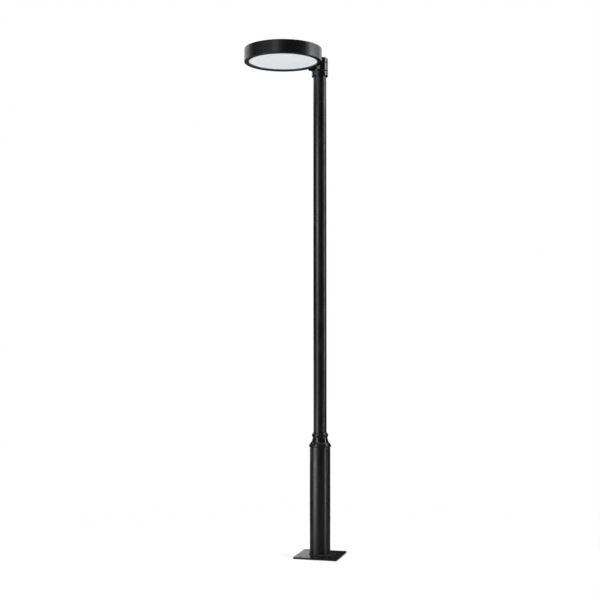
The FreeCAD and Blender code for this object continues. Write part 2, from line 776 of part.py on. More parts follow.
def make_arm_joint():
    """What joins the arm to the lamp housing: a seal, four bolts and the cable gland."""
    body = new_body("arm_seal_blank", HEAD)
    inner, outer, half = "head_r", "head_r + arm_seal_t", "arm_half - 1.5"
    inner_x, outer_x = f"sqrt(({inner})^2 - ({half})^2)", f"sqrt(({outer})^2 - ({half})^2)"
    plan = [(inner_x, f"-({half})"), (outer_x, f"-({half})"), (outer_x, half), (inner_x, half)]
    pad(body, outline(new_sketch(body, "XY_Plane", "4"), plan, {1: (outer, -1), 3: (inner, 1)}), "35")
    outward = ((0, 1, 0), 90)
    back = "-reach + head_r - 12"
    tools = [cylinder("seal_hole", 3.3, "30", (back, f"{side} * arm_bolt_y", f"head_z + {level}"), outward)
             for side, level in BOLT_SPOTS]
    tools.append(cylinder("seal_channel", "channel_r + 1", "30", (back, "0", "head_z + gland_z"), outward))
    node(cut("arm_seal", body, tools), "arm_seal")

    face_in = Rotation(Vector(0, 1, 0), -90)
    spots = [(("-reach + boss_x", f"{side} * arm_bolt_y", f"head_z + {level}"), face_in)
             for side, level in BOLT_SPOTS]
    group("arm_bolts", cap_screw("arm_bolt", 6, 24), spots)

    level = "head_z + gland_z"
    hexagon = doc.addObject("Part::Prism", "gland_hex")
    hexagon.Polygon = 6
    hexagon.Circumradius = 10
    hexagon.Height = 5
    place(hexagon, ("-reach + boss_x - 5", "0", level), outward)
    dome = doc.addObject("Part::Cone", "gland_dome")
    dome.Radius1 = 6
    dome.Radius2 = 8.5
    dome.Height = 10
    place(dome, ("-reach + boss_x - 15", "0", level), outward)
    stub = cylinder("gland_stub", "gland_r", "19", ("-reach + boss_x", "0", level), outward)
    bore = cylinder("gland_bore", "gland_r - 3.5", "60", ("-reach + boss_x - 27", "0", level), outward)
    node(cut("cable_gland", fuse("gland_blank", [hexagon, dome, stub]), [bore]), "cable_gland")


# ---------------------------------------------------------------- lamp head

TRIM_SCREWS = 12
COVER_SCREWS = 6
BOARD_SCREWS = 6
CHIP_RINGS = ((10, 55), (18, 95), (26, 135), (32, 168))  # how many, and their circle's radius
SINK_FINS = 21


def make_housing():
    """The cast drum: an outer wall, a ledge for the trim ring, a deck and a shoulder for the cover."""
    body = new_body("housing_blank", HEAD)
    inner = "head_r - head_wall"
    deck_top = "deck_low + deck_t"
    revolve(body, [
        (inner, "0"),
        ("head_r - 2", "0"),
        ("head_r", "2"),
        ("head_r", "head_high - 4"),
        ("head_r - 4", "head_high"),
        (inner, "head_high"),
        (inner, "shoulder_z + 4"),
        (f"{inner} - 8", "shoulder_z + 4"),
        (f"{inner} - 8", "shoulder_z"),
        (inner, "shoulder_z - 8"),
        (inner, deck_top),
        ("0", deck_top),
        ("0", "deck_low"),
        (inner, "deck_low"),
        (inner, "trim_t + ledge_t"),
        ("ledge_r", "trim_t + ledge_t"),
        ("ledge_r", "trim_t"),
        (inner, "trim_t"),
    ], {1: ("2", -1), 3: ("4", -1)})
    boss_low, boss_half = "trim_t + ledge_t", "arm_half - 2"
    boss_out = f"sqrt(({inner} + 2)^2 - ({boss_half})^2)"
    plan = [("boss_x", f"-({boss_half})"), (boss_out, f"-({boss_half})"), (boss_out, boss_half),
            ("boss_x", boss_half)]
    pad(body, outline(new_sketch(body, "XY_Plane", boss_low), plan, {1: (f"{inner} + 2", -1)}),
        f"deck_low - {boss_low}")
    inside = "boss_x - 17"
    holes = [(f"{side} * arm_bolt_y", level) for side, level in BOLT_SPOTS]
    pocket(body, circles(new_sketch(body, "YZ_Plane", inside), holes, "3"), "60", along_normal=True)
    pocket(body, circles(new_sketch(body, "YZ_Plane", inside), [("0", "gland_z")], "gland_r"), "60",
           along_normal=True)
    leads = [("212", "60"), ("lead_x", "0")]
    pocket(body, circles(new_sketch(body, "XY_Plane", "30"), leads, "7"), "30", along_normal=True)
    tools = []
    for at, _ in on_circle(TRIM_SCREWS, "trim_circle", "trim_t - 1", HEAD, 15):
        tools.append(cylinder("ledge_tap", 2, "ledge_t + 2", at))
    for at, _ in on_circle(COVER_SCREWS, "cover_circle", "shoulder_z - 6", HEAD, 30):
        tools.append(cylinder("shoulder_tap", 2, "11", at))
    for at, _ in on_circle(BOARD_SCREWS, "board_circle", "deck_low - 1", HEAD, 30):
        tools.append(cylinder("deck_tap", 1.5, "4", at))
    node(cut("lamp_housing", body, tools), "lamp_housing")


def make_optics():
    """The opal diffuser in its trim ring, the reflector, and the light-emitting board above them."""
    upside_down = Rotation(Vector(1, 0, 0), 180)
    outer = "head_r - head_wall - trim_gap"
    trim = new_body("trim_blank", HEAD)
    revolve(trim, [("trim_in_r", "0.8"), ("trim_in_r + 0.8", "0"), (f"{outer} - 0.8", "0"), (outer, "0.8"),
                   (outer, "trim_t"), ("trim_in_r", "trim_t")])
    sinks = []
    spots = on_circle(TRIM_SCREWS, "trim_circle", "0.3", HEAD, 15, upside_down)
    for at, turn in spots:
        sinks += sink_tool("trim_sink", 4, 12, at, turn)
    node(cut("trim_ring", trim, sinks), "trim_ring")
    group("trim_screws", flat_screw("trim_screw", 4, 15), spots)

    seat = "trim_t + seal_t"
    ring("diffuser_seal", "trim_in_r + 1", "diffuser_r", "trim_t", seat, HEAD)
    disc = new_body("diffuser", HEAD)
    revolve(disc, [("0", seat), ("diffuser_r", seat), ("diffuser_r", f"{seat} + diffuser_t"),
                   ("0", f"{seat} + diffuser_t")])
    node(disc, "diffuser")

    board_low = "deck_low - pad_t - board_t"
    reflector = new_body("reflector_blank", HEAD)
    revolve(reflector, [("230.5", f"{seat} + diffuser_t + 0.1"), ("232", f"{seat} + diffuser_t + 0.9"),
                        ("192", board_low), ("176", board_low), ("176", f"{board_low} - 1"),
                        ("191.4", f"{board_low} - 1")])
    tools = [cylinder("flange_hole", 1.5, "6", at)
             for at, _ in on_circle(BOARD_SCREWS, "board_circle", f"{board_low} - 3", HEAD, 30)]
    node(cut("reflector_ring", reflector, tools), "reflector_ring")

    for name, low, high in (("led_board", board_low, f"{board_low} + board_t"),
                            ("thermal_pad", "deck_low - pad_t", "deck_low")):
        plate = new_body(f"{name}_blank", HEAD)
        revolve(plate, [("0", low), ("board_r", low), ("board_r", high), ("0", high)])
        tools = [cylinder(f"{name}_hole", 1.5, "10", at)
                 for at, _ in on_circle(BOARD_SCREWS, "board_circle", "deck_low - 6", HEAD, 30)]
        lead_at = ("-reach + lead_x", "0", "head_z + deck_low - 6")
        tools.append(cylinder(f"{name}_lead_hole", 7, "10", lead_at))
        node(cut(name, plate, tools), name)
    spots = on_circle(BOARD_SCREWS, "board_circle", f"{board_low} - 1", HEAD, 30, upside_down)
    group("board_screws", cap_screw("board_screw", 3, 5), spots)

    chip = block("led_chip", ("chip_side", "chip_side", "chip_t"), ORIGIN_ON_POST)
    spots = []
    for count, radius in CHIP_RINGS:
        for at, _ in on_circle(count, radius, f"{board_low} - chip_t", HEAD, 180.0 / count):
            spots.append(((f"{at[0]} - chip_side / 2", f"{at[1]} - chip_side / 2", at[2]), None))
    group("led_chips", chip, spots)


def make_gear():
    """The driver, surge protector and heat sink on the deck above the light-emitting board."""
    floor = "head_z + deck_low + deck_t"
    side = "sink_wide / 2"
    base_t, fin_t = 3, 2
    base = block("sink_base", ("sink_long", "sink_wide", base_t), ("-reach - sink_long", f"-({side})", floor))
    fins = []
    for number in range(SINK_FINS):
        y = f"-({side}) + (sink_wide - {fin_t}) * {number} / {SINK_FINS - 1}"
        corner = ("-reach - sink_long", y, f"{floor} + {base_t}")
        fins.append(block("sink_fin", ("sink_long", fin_t, "fin_high"), corner))
    node(fuse("heat_sink", [base] + fins), "heat_sink")

    margin = 10
    long, wide = f"2 * (driver_half + {margin})", f"driver_wide + 2 * {margin}"
    low_x, low_y = f"-reach + driver_x - {margin}", f"-(driver_half + {margin})"
    bracket = block("bracket_plate", (wide, long, "bracket_t"), (low_x, low_y, floor))
    lips = [block("bracket_lip", (wide, "bracket_t", "12"), (low_x, y, f"{floor} + bracket_t"))
            for y in (low_y, f"driver_half + {margin} - bracket_t")]
    node(fuse("driver_bracket", [bracket] + lips), "driver_bracket")

    driver = new_body("led_driver", ("-reach + driver_x", "0", f"{floor} + bracket_t"))
    corners = [("0", "-driver_half"), ("driver_wide", "-driver_half"), ("driver_wide", "driver_half"),
               ("0", "driver_half")]
    pad(driver, outline(new_sketch(driver, "XY_Plane"), corners), "driver_high")
    dress(driver, "Fillet", "3", is_upright)
    dress(driver, "Chamfer", "1.5", lambda e: is_level(e) and e.BoundBox.ZMin > 1)
    node(driver, "led_driver")

    surge = new_body("surge_protector", ("-reach + surge_x", "0", floor))
    corners = [("0", "-40"), ("32", "-40"), ("32", "10"), ("0", "10")]
    pad(surge, outline(new_sketch(surge, "XY_Plane"), corners), "driver_high")
    dress(surge, "Fillet", "3", is_upright)
    node(surge, "surge_protector")


def make_top_cover():
    """The lid: a flat rim inside the wall's lip and a low crown that sheds water, on its seal."""
    seal_low = "shoulder_z + 4"
    seal = new_body("cover_seal_blank", HEAD)
    inner, outer, high = "head_r - head_wall - 7", "head_r - head_wall - 0.5", "cover_low"
    revolve(seal, [(inner, seal_low), (outer, seal_low), (outer, high), (inner, high)])
    holes = [cylinder("seal_hole", 2.2, "6", at)
             for at, _ in on_circle(COVER_SCREWS, "cover_circle", f"{seal_low} - 2", HEAD, 30)]
    node(cut("cover_seal", seal, holes), "cover_seal")

    body = new_body("cover_blank", HEAD)
    edge = "head_r - head_wall - 0.8"
    under_flat = "lid_flat_r - 2"
    crown_r = "((lid_flat_r^2 + crown_high^2) / (2 * crown_high))"
    under_r = f"((({under_flat})^2 + crown_high^2) / (2 * crown_high))"
    revolve(body, [
        ("0", "cover_low + crown_high"),
        (under_flat, "cover_low"),
        (edge, "cover_low"),
        (edge, "cover_low + lid_t"),
        ("lid_flat_r", "cover_low + lid_t"),
        ("0", "cover_low + lid_t + crown_high"),
    ], {0: (under_r, 1), 4: (crown_r, -1)})
    spots = on_circle(COVER_SCREWS, "cover_circle", "cover_low + lid_t", HEAD, 30)
    tools = [cylinder("vent_hole", 6, "30", ("-reach - vent_x", "0", "head_z + cover_low"))]
    for at, _ in spots:
        tools += sink_tool("cover_sink", 4, 10, at)
    node(cut("top_cover", body, tools), "top_cover")
    group("cover_screws", flat_screw("cover_screw", 4, 14), spots)

    stem = cylinder("vent_stem", 5.9, "9", ("-reach - vent_x", "0", "head_z + cover_low + 5"))
    button = new_body("vent_button", ("-reach - vent_x", "0", "head_z + cover_low + 14"))
    revolve(button, [("0", "0"), ("vent_r", "0"), ("vent_r", "2.5"), ("vent_r - 2", "4.5"), ("0", "4.5")],
            {2: ("2", -1)})
    node(fuse("breather_vent", [stem, button]), "breather_vent")


make_base_plate()
make_foot_weld()
make_lower_tube()
make_centring_rings()
make_upper_tube()
make_reducer()
make_door()
make_equipment()
make_pole_collar()
make_retainer()
make_hub()
make_cap()
make_arm_joint()
make_housing()
make_optics()
make_gear()
make_top_cover()

doc.recompute()
broken = [obj.Name for obj in doc.Objects if {"Invalid", "Error"} & set(obj.State)]
if broken:
    raise RuntimeError(f"objects that failed: {broken}")
for obj in NODES:
    if obj.Shape.isNull() or not obj.Shape.isValid() or not obj.Shape.Solids:
        raise RuntimeError(f"{obj.Label} has no valid shape")

os.makedirs("parts", exist_ok=True)
for obj in NODES:
    obj.Shape.exportStep(f"parts/{obj.Label}.step")
    print(f"{obj.Label}: {len(obj.Shape.Solids)} solid, {obj.Shape.Volume / 1000:.1f} cm3")
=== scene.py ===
"""The looks of the street lamp post around the fixed CAD frame.

Finishes for every node, the weld bead, the front of the fuse box, the studio and the camera.
"""

import json
import math
import random

import bmesh
import bpy
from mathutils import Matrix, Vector


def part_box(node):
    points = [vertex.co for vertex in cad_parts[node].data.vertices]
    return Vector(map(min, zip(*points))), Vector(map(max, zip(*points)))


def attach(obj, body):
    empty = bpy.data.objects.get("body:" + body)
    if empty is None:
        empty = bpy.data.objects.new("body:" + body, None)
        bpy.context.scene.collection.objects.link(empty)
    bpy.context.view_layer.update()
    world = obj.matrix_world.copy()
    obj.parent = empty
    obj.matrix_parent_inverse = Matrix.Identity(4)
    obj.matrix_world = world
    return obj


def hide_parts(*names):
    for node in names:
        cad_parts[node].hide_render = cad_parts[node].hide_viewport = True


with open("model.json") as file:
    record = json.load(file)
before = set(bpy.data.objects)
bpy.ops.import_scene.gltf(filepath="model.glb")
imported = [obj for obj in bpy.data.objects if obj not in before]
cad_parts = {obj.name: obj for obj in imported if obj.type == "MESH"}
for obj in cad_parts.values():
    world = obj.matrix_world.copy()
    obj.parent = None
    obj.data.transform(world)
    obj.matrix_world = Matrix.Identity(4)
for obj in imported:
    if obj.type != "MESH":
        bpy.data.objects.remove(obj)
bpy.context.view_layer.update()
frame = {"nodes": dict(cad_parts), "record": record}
nodes = frame["nodes"]

MM = 0.001
UP = Vector((0, 0, 1))

# ---------------------------------------------------------------- camera: in metres and degrees
CAMERA_AZIMUTH = 40.15      # the way it looks, turned from +Y towards +X
CAMERA_DISTANCE = 7.507     # from the post's axis
CAMERA_HEIGHT = 1.4935
CAMERA_PITCH = 1.878        # upwards
CAMERA_YAW = 1.042          # to the left of the post
CAMERA_LENS = 65.8          # millimetres, on a 36 mm sensor

AHEAD = Vector((math.sin(math.radians(CAMERA_AZIMUTH)), math.cos(math.radians(CAMERA_AZIMUTH)), 0))
RIGHT = Vector((AHEAD.y, -AHEAD.x, 0))


def aim(obj, place, look):
    """Puts an object at a place with its -Z axis along look and its +Y axis upwards."""
    obj.location = place
    obj.rotation_euler = look.to_track_quat("-Z", "Y").to_euler()


def add_camera():
    pitch = math.radians(CAMERA_PITCH)
    yaw = math.radians(CAMERA_YAW)
    level = math.cos(yaw) * AHEAD - math.sin(yaw) * RIGHT
    data = bpy.data.cameras.new("camera")
    data.sensor_width = 36
    data.lens = CAMERA_LENS
    camera = bpy.data.objects.new("camera", data)
    bpy.context.scene.collection.objects.link(camera)
    aim(camera, CAMERA_HEIGHT * UP - CAMERA_DISTANCE * AHEAD, math.cos(pitch) * level + math.sin(pitch) * UP)
    bpy.context.scene.camera = camera


# ---------------------------------------------------------------- studio
# name: (turn, distance, middle height, width, height, radiance). The turn is in degrees from the camera's
# side of the post, clockwise seen from above, and a light at no distance hangs overhead and faces down.
SOFT_LIGHTS = {
    "key_high": (46, 3.2, 2.85, 1.6, 1.1, 8.0),
    "key_middle": (48, 3.2, 1.4, 1.6, 1.8, 2.6),
    "key_low": (58, 3.2, 0.15, 1.9, 0.6, 8.5),
    "strip_high": (-87, 3.4, 2.6, 0.5, 3.6, 9.0),
    "strip_low": (-62, 3.4, 0.0, 0.5, 1.0, 10.5),
    "card_front_high": (22, 3.2, 4.45, 0.8, 1.1, 2.8),
    "card_left_high": (145, 4.2, 4.9, 6.0, 1.4, 1.8),
    "card_left_low": (151, 4.2, 0.7, 4.6, 1.2, 0.95),
    "card_right_high": (-97, 3.5, 4.8, 2.4, 1.9, 3.0),
    "card_right_behind": (-146, 3.5, 4.8, 3.0, 1.9, 1.2),
    "sky": (0, 0.0, 7.0, 7.0, 7.0, 0.35),
}
OVERHEAD_SIDE = 4.0
OVERHEAD_HEIGHT = 7.5
OVERHEAD_RADIANCE = 11.0
AMBIENT = 0.02              # what the dark studio sends back between the lights
FLOOR_RADIUS = 2.6
FLOOR_FADE = (0.7, 2.4)     # the floor fades into the white backdrop between these radii
FLOOR_MIRRORED = 0.2        # how much of the floor the object's own reflections show
FLAGGED = {"strip_high": ["base_plate"], "key_middle": ["base_plate"]}  # lights kept off some nodes


def add_light(name, place, look, width, height, radiance):
    """A rectangular soft box that the camera doesn't see, its power worked out from its radiance."""
    data = bpy.data.lights.new(name, "AREA")
    data.shape = "RECTANGLE"
    data.size = width
    data.size_y = height
    data.energy = radiance * math.pi * width * height
    light = bpy.data.objects.new(name, data)
    bpy.context.scene.collection.objects.link(light)
    light.visible_camera = False
    aim(light, place, look)
    return light


def flag(light, shaded):
    """Keeps a light off some CAD nodes, as a flag in front of a lamp does."""
    if not shaded:
        return
    flagged = bpy.data.collections.new(light.name + "_flag")
    for name in shaded:
        flagged.objects.link(nodes[name])
    for entry in flagged.collection_objects:
        entry.light_linking.link_state = "EXCLUDE"
    light.light_linking.receiver_collection = flagged


def add_lights():
    for name, (turn, distance, middle, width, height, radiance) in SOFT_LIGHTS.items():
        angle = math.radians(turn)
        outward = -math.cos(angle) * AHEAD - math.sin(angle) * RIGHT
        look = -outward if distance else -UP
        light = add_light(name, distance * outward + middle * UP, look, width, height, radiance)
        flag(light, FLAGGED.get(name, []))
    overhead = add_light("overhead", OVERHEAD_HEIGHT * UP, -UP,
                         OVERHEAD_SIDE, OVERHEAD_SIDE, OVERHEAD_RADIANCE)
    overhead.visible_glossy = False


def add_world():
    """A white backdrop to the eye, and a dark room to the light."""
    world = bpy.data.worlds.new("studio")
    world.use_nodes = True
    tree = world.node_tree
    backdrop = tree.nodes["Background"]
    backdrop.inputs["Color"].default_value = (1, 1, 1, 1)
    backdrop.inputs["Strength"].default_value = 1.0
    room = tree.nodes.new("ShaderNodeBackground")
    room.inputs["Color"].default_value = (0.96, 0.98, 1, 1)
    room.inputs["Strength"].default_value = AMBIENT
    path = tree.nodes.new("ShaderNodeLightPath")
    mix = tree.nodes.new("ShaderNodeMixShader")
    tree.links.new(path.outputs["Is Camera Ray"], mix.inputs["Fac"])
    tree.links.new(room.outputs["Background"], mix.inputs[1])
    tree.links.new(backdrop.outputs["Background"], mix.inputs[2])
    tree.links.new(mix.outputs["Shader"], tree.nodes["World Output"].inputs["Surface"])
    bpy.context.scene.world = world


# ---------------------------------------------------------------- materials
class Finish:
    """A material's nodes, with short calls for what the finishes share. Lengths are in metres."""

    def __init__(self, name):
        self.material = bpy.data.materials.new(name)
        self.material.use_nodes = True
        self.tree = self.material.node_tree
        self.surface = self.tree.nodes["Principled BSDF"]
        self.position = self.add("ShaderNodeTexCoord").outputs["Object"]

    def add(self, kind, **settings):
        node = self.tree.nodes.new(kind)
        for key, setting in settings.items():
            setattr(node, key, setting)
        return node

    def feed(self, socket, source):
        """Sets a socket to a number or a colour, or links another node's output to it."""
        if isinstance(source, bpy.types.NodeSocket):
            self.tree.links.new(source, socket)
        else:
            socket.default_value = source

    def set(self, **inputs):
        """Sets or links the shader's own sockets: words joined with _ for the spaces in their names."""
        names = {socket.name.lower().replace(" ", "_"): socket for socket in self.surface.inputs}
        for key, source in inputs.items():
            self.feed(names[key], source)

    def math(self, operation, first, second=0.0, third=0.0):
        node = self.add("ShaderNodeMath", operation=operation)
        for socket, source in zip(node.inputs, (first, second, third)):
            self.feed(socket, source)
        return node.outputs[0]

    def stretched(self, x, y, z):
        """The position with each axis scaled, so that a pattern draws out along the smallest."""
        node = self.add("ShaderNodeVectorMath", operation="MULTIPLY")
        self.feed(node.inputs[0], self.position)
        node.inputs[1].default_value = (x, y, z)
        return node.outputs[0]

    def noise(self, size, detail=3.0, rough=0.5, at=None):
        """Cloudy noise whose patches are about one size across."""
        node = self.add("ShaderNodeTexNoise")
        self.feed(node.inputs["Vector"], at or self.position)
        node.inputs["Scale"].default_value = 1 / size
        node.inputs["Detail"].default_value = detail
        node.inputs["Roughness"].default_value = rough
        return node.outputs["Fac"]

    def cells(self, size, output="Distance", feature="F1"):
        node = self.add("ShaderNodeTexVoronoi", feature=feature)
        self.feed(node.inputs["Vector"], self.position)
        node.inputs["Scale"].default_value = 1 / size
        return node.outputs[output]

    def ranged(self, source, low, high, to_low=0.0, to_high=1.0):
        """The source's span low to high, spread over to_low to to_high and held there outside it."""
        node = self.add("ShaderNodeMapRange")
        self.feed(node.inputs["Value"], source)
        for name, number in zip(("From Min", "From Max", "To Min", "To Max"), (low, high, to_low, to_high)):
            self.feed(node.inputs[name], number)
        return node.outputs["Result"]

    def blend(self, amount, first, second):
        """A colour between two."""
        node = self.add("ShaderNodeMix", data_type="RGBA")
        self.feed(node.inputs["Factor"], amount)
        self.feed(node.inputs[6], first if isinstance(first, bpy.types.NodeSocket) else (*first, 1))
        self.feed(node.inputs[7], second if isinstance(second, bpy.types.NodeSocket) else (*second, 1))
        return node.outputs[2]

    def facing_up(self):
        """1 on level upper faces, 0 on walls and undersides."""
        split = self.add("ShaderNodeSeparateXYZ")
        self.feed(split.inputs[0], self.add("ShaderNodeNewGeometry").outputs["Normal"])
        return self.ranged(split.outputs["Z"], 0.35, 0.95)

    def edges(self, radius):
        """1 along sharp outer and inner edges, fading to 0 within the radius."""
        rounded = self.add("ShaderNodeBevel", samples=6)
        rounded.inputs["Radius"].default_value = radius
        agree = self.add("ShaderNodeVectorMath", operation="DOT_PRODUCT")
        self.feed(agree.inputs[0], rounded.outputs["Normal"])
        self.feed(agree.inputs[1], self.add("ShaderNodeNewGeometry").outputs["Normal"])
        return self.ranged(agree.outputs["Value"], 0.97, 0.75)

    def bump(self, layers):
        """Relief on the surface. layers: (source, depth in metres, strength), the coarsest first."""
        normal = None
        for source, depth, strength in layers:
            node = self.add("ShaderNodeBump")
            node.inputs["Strength"].default_value = strength
            node.inputs["Distance"].default_value = depth
            self.feed(node.inputs["Height"], source)
            if normal is not None:
                self.feed(node.inputs["Normal"], normal)
            normal = node.outputs["Normal"]
        self.set(normal=normal)


def powder_coat(name, level_roughness):
    """Satin black powder coat: a fine orange-peel skin, dust on level faces, rain streaks, rubbed edges.

    level_roughness is how many times as rough as its walls its level upper faces are."""
    f = Finish(name)
    patches = f.noise(0.09, 5, 0.6)
    streaks = f.noise(0.012, 4, 0.55, f.stretched(1, 1, 0.035))
    dust = f.math("MULTIPLY", f.facing_up(), f.ranged(f.noise(0.03, 6, 0.65), 0.42, 0.72, 0.05, 0.6))
    rubbed = f.math("MULTIPLY", f.edges(1.6 * MM), f.ranged(f.noise(0.02, 5, 0.7), 0.5, 0.68))
    coat = f.blend(f.ranged(patches, 0.35, 0.7), (0.005, 0.005, 0.0062), (0.009, 0.009, 0.0107))
    washed = f.blend(f.ranged(streaks, 0.55, 0.8, 0, 0.3), coat, (0.03, 0.03, 0.032))
    dusty = f.blend(f.math("MULTIPLY", dust, 0.05), washed, (0.2, 0.19, 0.175))
    worn = f.blend(f.math("MULTIPLY", rubbed, 0.55), dusty, (0.13, 0.13, 0.135))
    satin = f.math("ADD", f.ranged(patches, 0.3, 0.75, 0.29, 0.38), f.ranged(streaks, 0.5, 0.8, 0, 0.07))
    flowed = f.math("MULTIPLY", satin, f.math("MULTIPLY_ADD", f.facing_up(), level_roughness - 1, 1.0))
    f.set(base_color=worn, roughness=f.math("MULTIPLY_ADD", dust, 0.15, flowed), specular_ior_level=0.42)
    f.bump([(f.noise(0.0045, 2), 0.06 * MM, 0.5), (f.noise(0.0011, 2), 0.03 * MM, 0.6)])
    return f.material


def cast_enamel():
    """Gloss black enamel on castings: slow waves left by the mould, fine pits, rubbed edges."""
    f = Finish("gloss_black")
    patches = f.noise(0.05, 4, 0.6)
    rubbed = f.math("MULTIPLY", f.edges(1.2 * MM), f.ranged(f.noise(0.014, 5, 0.7), 0.48, 0.66))
    dust = f.math("MULTIPLY", f.facing_up(), f.ranged(f.noise(0.02, 6, 0.65), 0.45, 0.75, 0.0, 0.5))
    enamel = f.blend(f.ranged(patches, 0.35, 0.7), (0.005, 0.005, 0.006), (0.009, 0.009, 0.0105))
    dusty = f.blend(f.math("MULTIPLY", dust, 0.08), enamel, (0.16, 0.155, 0.145))
    worn = f.blend(f.math("MULTIPLY", rubbed, 0.5), dusty, (0.11, 0.11, 0.115))
    rough = f.math("ADD", f.ranged(patches, 0.3, 0.75, 0.1, 0.17), f.math("MULTIPLY", dust, 0.25))
    f.set(base_color=worn, roughness=rough, specular_ior_level=0.34, coat_weight=0.1, coat_roughness=0.06)
    f.bump([(f.noise(0.02, 2), 0.3 * MM, 0.3), (f.noise(0.0016, 2), 0.02 * MM, 0.4)])
    return f.material


def opal():
    """Opal acrylic: milky, faintly cool, with a painted glow standing in for light from the floor, raised
    near the rim as a painted highlight.
    """
    f = Finish("opal_acrylic")
    haze = f.noise(0.12, 3, 0.5)
    middle = (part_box("diffuser")[0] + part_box("diffuser")[1]) / 2
    spoke = f.add("ShaderNodeVectorMath", operation="DISTANCE")
    f.feed(spoke.inputs[0], f.position)
    spoke.inputs[1].default_value = middle
    # painted glow: emission standing in for light bounced up from the floor, brighter towards the rim as a
    # painted highlight
    painted_glow = f.ranged(spoke.outputs["Value"], 0.18, 0.235, 0.4, 0.52)
    milk = f.blend(f.ranged(haze, 0.35, 0.7), (0.80, 0.825, 0.86), (0.84, 0.86, 0.885))
    f.set(base_color=milk, roughness=f.ranged(f.noise(0.03, 4), 0.3, 0.7, 0.3, 0.4), subsurface_weight=0.25,
          subsurface_radius=(0.01, 0.01, 0.01), subsurface_scale=0.4, specular_ior_level=0.4,
          emission_color=milk, emission_strength=painted_glow)
    f.bump([(f.noise(0.0009, 2), 0.01 * MM, 0.4)])
    return f.material


def bare_steel(name, dark, light, rough, turned=0.35):
    """Turned or ground steel: fine scratches and thumbed patches."""
    f = Finish(name)
    scratches = f.noise(0.0006, 5, 0.65, f.stretched(1, 1, 0.08))
    patches = f.noise(0.008, 4, 0.6)
    tone = f.blend(f.ranged(patches, 0.35, 0.7), dark, light)
    smooth = f.ranged(patches, 0.3, 0.7, *rough)
    f.set(base_color=tone, metallic=1.0, anisotropic=turned,
          roughness=f.math("ADD", smooth, f.ranged(scratches, 0.5, 0.8, 0, 0.1)))
    f.bump([(scratches, 0.02 * MM, 0.5)])
    return f.material


def zinc():
    """Hot-dip zinc: spangles of different grey, each with its own shine."""
    f = Finish("galvanised")
    spangle = f.cells(0.009, "Color")
    shade = f.add("ShaderNodeSeparateColor")
    f.feed(shade.inputs[0], spangle)
    tone = f.blend(shade.outputs[0], (0.40, 0.41, 0.42), (0.62, 0.63, 0.64))
    white_bloom = f.ranged(f.noise(0.02, 6, 0.7), 0.55, 0.75, 0, 0.5)
    f.set(base_color=f.blend(white_bloom, tone, (0.66, 0.67, 0.68)), metallic=0.9,
          roughness=f.ranged(shade.outputs[1], 0, 1, 0.3, 0.5))
    f.bump([(f.cells(0.009, "Distance", "SMOOTH_F1"), 0.05 * MM, 0.35), (f.noise(0.001, 2), 0.01 * MM, 0.5)])
    return f.material


def moulded(name, dark, light, rough, grain, gloss=0.5):
    """A moulded part: an even spark-eroded grain with slightly polished high spots."""
    f = Finish(name)
    texture = f.noise(grain, 2, 0.5)
    patches = f.noise(0.03, 4, 0.55)
    smooth = f.ranged(patches, 0.3, 0.7, *rough)
    f.set(base_color=f.blend(f.ranged(patches, 0.3, 0.7), dark, light), specular_ior_level=gloss,
          roughness=f.math("ADD", smooth, f.ranged(texture, 0.4, 0.7, 0, 0.08)))
    f.bump([(texture, 0.05 * MM, 0.5)])
    return f.material


def rubber():
    """Sealing rubber: dull, with pale bloom and a fine moulded skin."""
    f = Finish("black_rubber")
    bloom = f.ranged(f.noise(0.012, 6, 0.7), 0.5, 0.75, 0, 0.6)
    f.set(base_color=f.blend(bloom, (0.017, 0.017, 0.018), (0.05, 0.05, 0.051)),
          roughness=f.ranged(f.noise(0.004, 3), 0.3, 0.7, 0.62, 0.85), specular_ior_level=0.3)
    f.bump([(f.noise(0.0008, 3), 0.04 * MM, 0.6)])
    return f.material


def circuit_board():
    """White solder mask on an aluminium core, with faint raised tracks under it."""
    f = Finish("board_white")
    bricks = f.add("ShaderNodeTexBrick")
    f.feed(bricks.inputs["Vector"], f.position)
    bricks.inputs["Scale"].default_value = 18
    bricks.inputs["Mortar Size"].default_value = 0.03
    tracks = bricks.outputs["Fac"]
    f.set(base_color=f.blend(tracks, (0.82, 0.83, 0.81), (0.74, 0.76, 0.72)),
          roughness=f.ranged(f.noise(0.02, 4), 0.3, 0.7, 0.28, 0.4), coat_weight=0.3, coat_roughness=0.2)
    f.bump([(tracks, 0.05 * MM, 0.6), (f.noise(0.0006, 2), 0.01 * MM, 0.4)])
    return f.material


def phosphor():
    """Phosphor in the light-emitting packages: yellow gel with fine grains."""
    f = Finish("chip_yellow")
    grains = f.cells(0.0005, "Distance")
    f.set(base_color=f.blend(f.ranged(grains, 0.1, 0.6), (0.86, 0.66, 0.16), (0.95, 0.80, 0.34)),
          roughness=f.ranged(grains, 0, 0.6, 0.15, 0.35), subsurface_weight=0.2, subsurface_scale=0.002)
    f.bump([(grains, 0.02 * MM, 0.4)])
    return f.material


def cast_aluminium():
    """Aluminium as cast: grey, softly pitted."""
    f = Finish("bare_aluminium")
    pits = f.cells(0.0016, "Distance")
    patches = f.noise(0.025, 5, 0.6)
    f.set(base_color=f.blend(f.ranged(patches, 0.3, 0.7), (0.52, 0.53, 0.54), (0.68, 0.69, 0.70)),
          metallic=0.95, roughness=f.ranged(patches, 0.3, 0.7, 0.38, 0.55))
    f.bump([(patches, 0.2 * MM, 0.3), (pits, 0.04 * MM, 0.5)])
    return f.material


def brass():
    """Plain brass with brown tarnish in patches."""
    f = Finish("stud_brass")
    tarnish = f.ranged(f.noise(0.005, 6, 0.7), 0.45, 0.7, 0, 0.7)
    f.set(base_color=f.blend(tarnish, (0.74, 0.56, 0.22), (0.33, 0.22, 0.1)), metallic=1.0,
          roughness=f.math("ADD", 0.22, f.math("MULTIPLY", tarnish, 0.3)))
    f.bump([(f.noise(0.0007, 4), 0.02 * MM, 0.5)])
    return f.material


